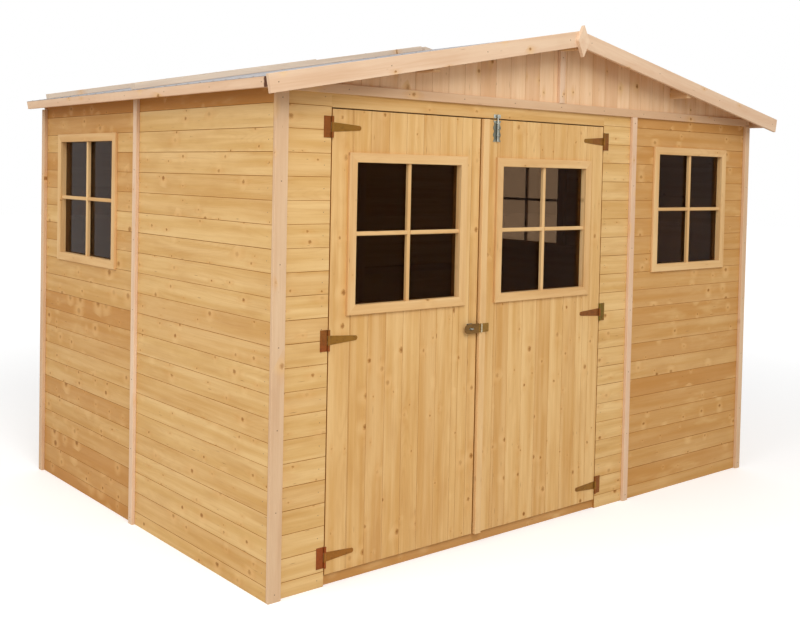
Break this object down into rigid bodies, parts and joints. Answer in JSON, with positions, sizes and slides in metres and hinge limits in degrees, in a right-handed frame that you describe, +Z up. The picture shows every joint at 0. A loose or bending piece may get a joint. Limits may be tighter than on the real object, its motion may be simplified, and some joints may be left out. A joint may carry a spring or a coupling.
{
  "type": "garden shed",
  "caption": "Timber-boarded garden shed with a low-pitched felted gable roof, hinged double doors with windows, fixed side and front windows, trims, bargeboards and a diamond finial.",
  "frame": {"origin": "centre of the base of the shed's overall bounding box, on the ground", "axes": "+Z up; -Y is the front with the doors; +X runs along the front, to the right as seen from in front"},
  "size_m": [3.324, 2.353, 2.2951],
  "materials": {
    "wall_boards": "honey-coloured softwood boards, lightly treated",
    "door_boards": "honey-coloured softwood boards, lightly treated",
    "frame_timber": "planed softwood framing",
    "trim_timber": "pale planed softwood",
    "roof_edge_timber": "pale planed softwood",
    "roof_boards": "rough softwood boards",
    "roof_felt": "mineral-surfaced roofing felt",
    "window_glass": "clear glazing",
    "bronzed_hinges": "bronze-coloured coated steel",
    "bronzed_hasp": "dark bronze-coloured coated steel",
    "zinc_bolt": "zinc-plated steel"
  },
  "bodies": {
    "shed": {"front_left_boards": "wall_boards", "front_middle_boards": "wall_boards", "front_window_boards": "wall_boards", "front_wall_head": "wall_boards", "door_sill": "frame_timber", "left_front_boards": "wall_boards", "left_window_boards": "wall_boards", "right_front_boards": "wall_boards", "right_window_boards": "wall_boards", "back_wall_boards": "wall_boards", "front_wall_frame": "frame_timber", "left_wall_frame": "frame_timber", "right_wall_frame": "frame_timber", "back_wall_frame": "frame_timber", "front_gable": "wall_boards", "back_gable": "wall_boards", "purlins": "frame_timber", "left_roof_deck": "roof_boards", "right_roof_deck": "roof_boards", "roof_felt": "roof_felt", "roof_battens": "trim_timber", "eave_fascias": "roof_edge_timber", "left_bargeboard": "roof_edge_timber", "right_bargeboard": "roof_edge_timber", "back_verge_boards": "roof_edge_timber", "finial": "roof_edge_timber", "front_corner_trims": "trim_timber", "back_corner_trims": "trim_timber", "cover_battens": "trim_timber", "gable_rails": "trim_timber", "front_window_frame": "trim_timber", "front_window_glass": "window_glass", "left_window_frame": "trim_timber", "left_window_glass": "window_glass", "right_window_frame": "trim_timber", "right_window_glass": "window_glass", "hinge_plates": "bronzed_hinges", "bolt_keeper": "zinc_bolt"},
    "left_door": {"left_door_boards": "door_boards", "left_door_frame": "frame_timber", "left_door_window_frame": "trim_timber", "left_door_window_glass": "window_glass", "left_door_straps": "bronzed_hinges", "hasp_strap": "bronzed_hasp", "hasp_staple": "bronzed_hasp"},
    "right_door": {"right_door_boards": "door_boards", "right_door_frame": "frame_timber", "right_door_window_frame": "trim_timber", "right_door_window_glass": "window_glass", "right_door_straps": "bronzed_hinges", "meeting_strip": "trim_timber", "hasp_plate": "bronzed_hasp", "slide_bolt": "zinc_bolt"}
  },
  "joints": [
    {"name": "left_door_hinge", "type": "hinge", "parent": "shed", "child": "left_door", "pos_m": [-1.2945, -1.045, 0.95], "axis": [0, 0, -1], "range_deg": [0, 110]},
    {"name": "right_door_hinge", "type": "hinge", "parent": "shed", "child": "right_door", "pos_m": [0.3195, -1.045, 0.95], "axis": [0, 0, 1], "range_deg": [0, 110]}
  ]
}
